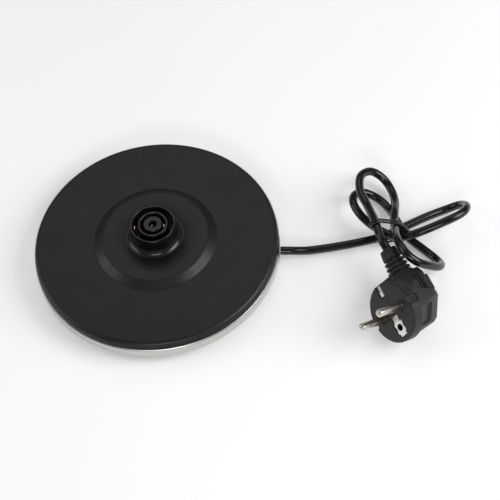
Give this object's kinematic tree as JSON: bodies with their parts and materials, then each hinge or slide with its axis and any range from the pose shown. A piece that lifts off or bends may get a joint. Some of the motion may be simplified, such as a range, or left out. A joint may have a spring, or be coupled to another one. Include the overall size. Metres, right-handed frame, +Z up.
{
  "type": "kettle power base",
  "caption": "Round kettle power base with a steel side band, a central 360 degree connector and a tied mains lead with an angled earthed plug.",
  "frame": {"origin": "centre of the base on the surface it stands on", "axes": "+Z up, +X the way the lead leaves the base"},
  "size_m": [0.2747, 0.1552, 0.0417],
  "materials": {
    "satin_black_plastic": "satin",
    "brushed_steel_band": "brushed",
    "matt_black_plastic": "matt",
    "black_rubber": "matt",
    "zinc_plated_steel": "zinc plated",
    "gloss_black_plastic": "gloss",
    "tie_sleeve": "gloss sleeve on a soft wire",
    "brass_contact": "bright",
    "silvered_contact": "plated",
    "brown_core": "smooth",
    "blue_core": "smooth",
    "green_yellow_core": "smooth",
    "soft_black_plastic": "satin",
    "black_cord_sheath": "gloss",
    "matt_black_plug": "fine matt grain",
    "nickel_plated_pin": "bright nickel"
  },
  "bodies": {
    "base": {"top_cover": "satin_black_plastic", "trim_ring": "brushed_steel_band", "bottom_shell": "matt_black_plastic", "rubber_foot_1": "black_rubber", "rubber_foot_2": "black_rubber", "rubber_foot_3": "black_rubber", "rubber_foot_4": "black_rubber", "case_screw_1": "zinc_plated_steel", "case_screw_2": "zinc_plated_steel", "case_screw_3": "zinc_plated_steel", "case_screw_4": "zinc_plated_steel", "connector_housing": "gloss_black_plastic", "contact_carrier": "matt_black_plastic", "carrier_screw_1": "zinc_plated_steel", "carrier_screw_2": "zinc_plated_steel", "carrier_screw_3": "zinc_plated_steel", "live_tab": "brass_contact", "live_receptacle": "silvered_contact", "live_wire": "brown_core", "neutral_tab": "brass_contact", "neutral_receptacle": "silvered_contact", "neutral_wire": "blue_core", "earth_tab": "brass_contact", "earth_receptacle": "silvered_contact", "earth_wire": "green_yellow_core", "cord_grommet": "soft_black_plastic", "cord_clamp": "matt_black_plastic", "clamp_screw_1": "zinc_plated_steel", "clamp_screw_2": "zinc_plated_steel", "lead_inner_end": "black_cord_sheath", "power_cord": "black_cord_sheath", "cord_tie": "tie_sleeve", "plug_body": "matt_black_plug", "plug_strain_relief": "matt_black_plug", "plug_pin_1": "nickel_plated_pin", "plug_pin_2": "nickel_plated_pin", "plug_earth_plate": "silvered_contact", "plug_side_earth_clip": "silvered_contact"},
    "live_contact": {"live_contact": "brass_contact"},
    "neutral_contact": {"neutral_contact": "brass_contact"},
    "earth_contact": {"earth_contact": "silvered_contact"}
  },
  "joints": [
    {"name": "live_contact_spring", "type": "hinge", "parent": "base", "child": "live_contact", "pos_m": [-0.01127, -0.00138, 0.0205], "axis": [0.1219, -0.9925, 0], "range_deg": [0, 4.6], "stiffness_Nm_per_rad": 0.2},
    {"name": "neutral_contact_spring", "type": "hinge", "parent": "base", "child": "neutral_contact", "pos_m": [0.00643, 0.00056, 0.0205], "axis": [-0.0872, 0.9962, 0], "range_deg": [0, 4.6], "stiffness_Nm_per_rad": 0.2},
    {"name": "earth_contact_spring", "type": "hinge", "parent": "base", "child": "earth_contact", "pos_m": [-0.00056, 0.00032, 0.0205], "axis": [-0.5, -0.866, 0], "range_deg": [0, 4.6], "stiffness_Nm_per_rad": 0.2}
  ]
}
